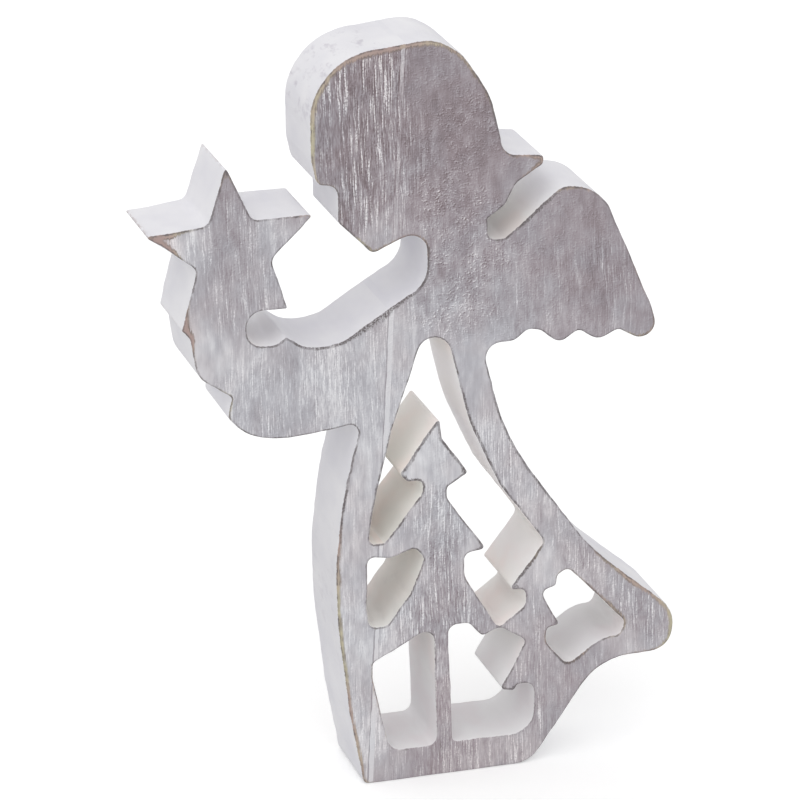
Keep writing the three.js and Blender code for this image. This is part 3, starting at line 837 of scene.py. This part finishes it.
def board_finish(name, seed, is_glue=False):
    """Wash on the faces with painted shade beside its streaks, bare wood and a dark line along the arrises,
    matt paint on the sawn walls, lighter in the cut-outs as painted light, with painted shade and light at
    places.
    Down a glue line the wash gives way to pale filler with a dark edge."""
    material = bpy.data.materials.new(name)
    make = bare_tree(material)
    place = make.node("TexCoord", output="Object") * (1 / MM, 1 / MM, 1 / MM) + (seed, 0, seed)

    def field(field_name):
        return make.node("Attribute", {"attribute_name": field_name}, output=2)

    def noise(at, width, depth, tall, detail=2.0, roughness=0.5):
        """Noise whose blotches have these sizes along X, Y and Z."""
        scaled = at * (1 / width, 1 / depth, 1 / tall)
        inputs = {"Vector": scaled, "Scale": 1.0, "Detail": detail, "Roughness": roughness}
        return make.node("TexNoise", {"noise_dimensions": "3D"}, inputs)

    def curls(at):
        """Broken, curling hairlines: where one noise is near its middle value and another is high."""
        level = noise(at, 1.1, 6, 0.85, 1.0) - 0.5
        return (level * level).ramp(0.003, 0.0004) * noise(at + (31, 0, 7), 0.9, 6, 0.7, 1.0).ramp(0.48, 0.58)

    # Brushed grain: fine beaded streaks in bundles, each with painted shade on one side, broader bands,
    # worm-like specks with painted shadows beside them
    sway = (noise(place, 16, 40, 28) - 0.5) * 2.0 + (noise(place, 1.6, 20, 3.5) - 0.5) * 0.5
    grain = place + make.node("CombineXYZ", {}, {0: sway})
    bundles = noise(grain, 3.2, 20, 26).ramp(0.38, 0.6)
    fine = noise(grain, 0.27, 9, 8.0, 1.0)
    # Painted shade: the streaks shifted sideways, dark on one side of each streak
    shade = noise(grain + (0.18, 0, 0), 0.27, 9, 8.0, 1.0) - fine
    beads = noise(place, 0.4, 6, 0.55, 1.0).ramp(0.38, 0.56)
    streaks = fine.ramp(0.55, 0.65) * (beads * 0.65 + 0.35) * (bundles * 0.5 + 0.5)
    painted_streak_shade = shade.ramp(0.06, 0.2) * (1.1 - beads) * (bundles * 0.8 + 0.2)
    bands = noise(grain, 1.1, 9, 14, 1.0) - 0.5
    dashes = noise(grain, 0.28, 9, 1.8, 1.0) - 0.5
    # Each hairline gets a painted shadow, a darker copy shifted down and to the right
    worms_and_shadows = (curls(place) - curls(place + (-0.25, 0, 0.25)) * 0.9) * 0.8
    specks = noise(place, 0.5, 6, 0.38, 2.0, 0.6)
    worms_and_shadows = worms_and_shadows + specks.ramp(0.56, 0.66) * 0.45 - specks.ramp(0.44, 0.34) * 0.4
    worms_and_shadows = worms_and_shadows * (noise(place, 4, 20, 4).ramp(0.3, 0.7) * 0.7 + 0.3)
    mottle = noise(place, 2.2, 20, 2.5) - 0.5
    tone = (noise(place, 7, 30, 14) - 0.5) * 0.3 + (noise(grain, 1.8, 30, 40) - 0.5) * 0.15
    tone = tone + (noise(grain, 2.2, 20, 6) - 0.5) * 0.4
    streaky = field("streaky")
    white = field("white") + tone
    if is_glue:
        edge = field("from_seam") + (noise(place, 2, 20, 5, 3.0) - 0.5) * 0.9
        spread = field("spread")
        left, right = edge + 0.45 + spread * 0.4, edge - 0.6 - spread
        filled = left.ramp(-0.12, 0.12) * right.ramp(0.12, -0.12)
        shadow = (left + 0.2).ramp(-0.2, 0.0) * left.ramp(0.12, -0.05) + right.ramp(-0.1, 0.1) * 0.6
        filled = filled * field("filled")
        white = white + filled * (0.89 - white) - shadow * field("filled") * 0.34
        streaky = streaky * (1 - filled * 0.8)
    white = white + streaky * (streaks * 0.75 - painted_streak_shade * 0.4 + bands * 0.4 - 0.04)
    white = white + streaky.least(0.8) * dashes * 1.0 + field("specky") * (worms_and_shadows * 0.6 + mottle * 0.6)
    warm = field("warm")
    tint = noise(place, 8, 30, 10).ramp(0.3, 0.7) * 0.5 + 0.2 + warm
    face = tint.blend(white.colours(COOL_WASH), white.colours(WARM_WASH))

    # Arrises: bare wood as wide as the wear, between a faint inner and a darker outer line
    nick = noise(place, 0.6, 0.6, 0.6, 1.0) - 0.5
    stretch = noise(place, 6, 9, 6) - 0.5
    across = field("from_arris") + nick * 0.45
    worn = field("worn")
    bare_to = worn * 2.0 + stretch * 0.9 + (fine - 0.5) * 1.6 - 0.25
    bare = (across + bare_to).ramp(-0.6, 0.25) * (worn * 3 + stretch * 0.8).ramp(0, 0.6)
    wood = (noise(place, 12, 20, 25) + warm * 0.4).colours(BARE_WOOD)
    chips = noise(place, 2.2, 3, 2.2) - 0.5
    outer_at = across + 0.04 - stretch * 0.3
    strong = field("lined")
    lined = (0.5 + strong + stretch * 0.8 + chips * 1.8).ramp(0, 1)
    ragged = strong.most(0) * (fine * 3 - 0.7).most(0)
    flecks = specks.ramp(0.5, 0.58) * strong.most(0).least(1) + streaks * 0.6
    outer_line = (outer_at + ragged).ramp(-0.46, -0.12) * lined * (1 - flecks.least(1) * 0.8)
    inner_line = (across + bare_to).ramp(-0.5, -0.1) * (across + bare_to).ramp(0.3, 0.0) * worn.ramp(0.1, 0.3)
    painted = outer_at.ramp(0.12, 0.24)

    # Sawn walls: lime-white outside, warmer and, as painted light, lighter in the cut-outs, with grey scuffs
    # and spots of painted shade and light
    lime = noise(place, 10, 16, 12)
    paint = field("cut_out").blend(lime.colours(OUTER_PAINT), lime.colours(CUT_OUT_PAINT_AND_LIGHT))
    scuffs = noise(place, 2.5, 6, 3, 4.0, 0.6).ramp(0.52, 0.74) * field("scuffed")
    paint = (scuffs * 0.6).blend(paint, SCUFFED_PAINT)
    # Painted shade darkens the walls at some listed places, painted light whitens them at others
    grey = field("grey")
    paint = grey.blend(paint, PAINTED_SHADE_ON_WALLS)
    paint = (0 - grey).blend(paint, PAINTED_LIGHT_ON_WALLS)
    ridge = field("ridge") * noise(place, 0.8, 3, 0.8).ramp(0.42, 0.6)
    paint = ridge.blend(paint, RIDGE_WOOD)

    # From the face outwards: wash, bare wood, the two lines, paint. The streaks stand a little proud.
    colour = bare.blend(face, wood)
    colour = (inner_line * lined).blend(colour, INNER_LINE)
    colour = outer_line.blend(colour, OUTER_LINE)
    colour = painted.blend(colour, paint)
    relief = (streaks * 0.7 - painted_streak_shade * 0.5) * streaky + worms_and_shadows * 0.1 + nick * 0.5
    height = relief * (1 - painted * 0.8)
    bump = make.node("Bump", {}, {"Strength": 0.5, "Distance": 0.12 * MM, "Height": height})
    surface = {"Base Color": colour, "Roughness": 0.85, "Specular IOR Level": 0.25, "Normal": bump}
    make.node("BsdfPrincipled", {}, surface).ends_in("OutputMaterial")
    return material


def make_camera():
    """A camera at the photograph's viewing angle, which looks back along its own Z axis at the target."""
    sine, cosine = math.sin(CAMERA_AZIMUTH), math.cos(CAMERA_AZIMUTH)
    level = math.cos(CAMERA_ELEVATION)
    back = Vector((sine * level, -cosine * level, math.sin(CAMERA_ELEVATION)))
    right = Vector((cosine, sine, 0))
    up = back.cross(right)
    turned_right = right * math.cos(CAMERA_ROLL) + up * math.sin(CAMERA_ROLL)
    turned_up = up * math.cos(CAMERA_ROLL) - right * math.sin(CAMERA_ROLL)
    lens = bpy.data.cameras.new("camera")
    lens.sensor_width = CAMERA_SENSOR
    lens.lens = CAMERA_LENS
    lens.clip_end = CAMERA_REACH
    camera = add_object("camera", lens)
    camera.matrix_world = Matrix((turned_right, turned_up, back)).transposed().to_4x4()
    camera.location = Vector(CAMERA_TARGET) * MM + back * CAMERA_DISTANCE * MM
    bpy.context.scene.camera = camera


def neutral(level):
    """A linear colour without a hue."""
    return (level, level, level, 1)


def make_floor():
    """A wide floor under the base, white to the camera with the shadow on it, light grey to the object."""
    corners = np.array([(-1, -1, 0), (1, -1, 0), (1, 1, 0), (-1, 1, 0)]) * FLOOR_HALF
    mesh = bpy.data.meshes.new("floor")
    mesh.from_pydata(corners.tolist(), [], [(0, 1, 2, 3)])
    material = bpy.data.materials.new("pale_floor")
    make = bare_tree(material)
    seen = make.node("LightPath")
    shade = seen.blend(neutral(FLOOR_TO_OBJECT), neutral(FLOOR_TO_CAMERA))
    glow = seen.blend(neutral(0), neutral(FLOOR_GLOW))
    matt = make.node("BsdfDiffuse", {}, {"Color": shade})
    glowing = make.node("Emission", {}, {"Color": glow, "Strength": 1.0})
    make.node("AddShader", {}, {0: matt, 1: glowing}).ends_in("OutputMaterial")
    mesh.materials.append(material)
    floor = add_object("floor", mesh)
    floor.location.z = -FLOOR_DROP * MM


def make_light():
    """A soft key from above the star's side, a fainter one from behind, and an even white room."""
    for name, energy, towards in LAMPS:
        lamp = bpy.data.lights.new(name, "SUN")
        lamp.energy = energy
        lamp.angle = LAMP_SPREAD
        light = add_object(name, lamp)
        light.rotation_euler = Vector(towards).to_track_quat("Z", "Y").to_euler()
    world = bpy.data.worlds.new("room")
    make = bare_tree(world)
    seen = make.node("LightPath")
    strength = ROOM_TO_OBJECT + seen * (ROOM_TO_CAMERA - ROOM_TO_OBJECT)
    room = make.node("Background", {}, {"Color": neutral(1), "Strength": strength})
    room.ends_in("OutputWorld")
    bpy.context.scene.world = world


make_camera()
make_floor()
make_light()
bpy.context.scene.view_settings.view_transform = "Standard"

body_wash = board_finish("body_wash", 0.0)
arm_wash = board_finish("arm_wash", 77.0)
face_wash = board_finish("face_wash", 41.0)
filler = board_finish("filler", 31.0, is_glue=True)

board = new_mesh("board", *whole_board())
half_seam = SEAM_WIDTH / 2
rear = pieces_of(cut_by(board, [seam_plane(half_seam, -1)]))
front = pieces_of(cut_by(board, [seam_plane(-half_seam, 1)]))
strip = cut_by(board, [seam_plane(-half_seam, -1), seam_plane(half_seam, 1)])

arm, face = sorted(front, key=lowest)
place_piece("body_stave", rear[0], body_wash)
place_piece("arm_stave", arm, arm_wash)
place_piece("face_stave", face, face_wash)

# Each glue line is the strip from halfway to its solid's lower neighbour to halfway to its upper one
spans = np.array([[corners_of(name)[:, 2].min(), corners_of(name)[:, 2].max()] for name in GLUE_LINES])
halfway = (spans[:-1, 1] + spans[1:, 0]) / 2
lows = [-1, *halfway]
highs = [*halfway, cad_box[1].z / MM + 1]
for name, low, high in zip(GLUE_LINES, lows, highs):
    line = max(pieces_of(cut_by(strip, [level_plane(low, -1), level_plane(high, 1)])), key=point_count)
    points, _, fields = line
    fields["spread"] = along_height(points[:, 2], FILLER_SPREAD)
    fields["filled"] = along_height(points[:, 2], FILLER_SHOWS)
    place_piece(name, line, filler)
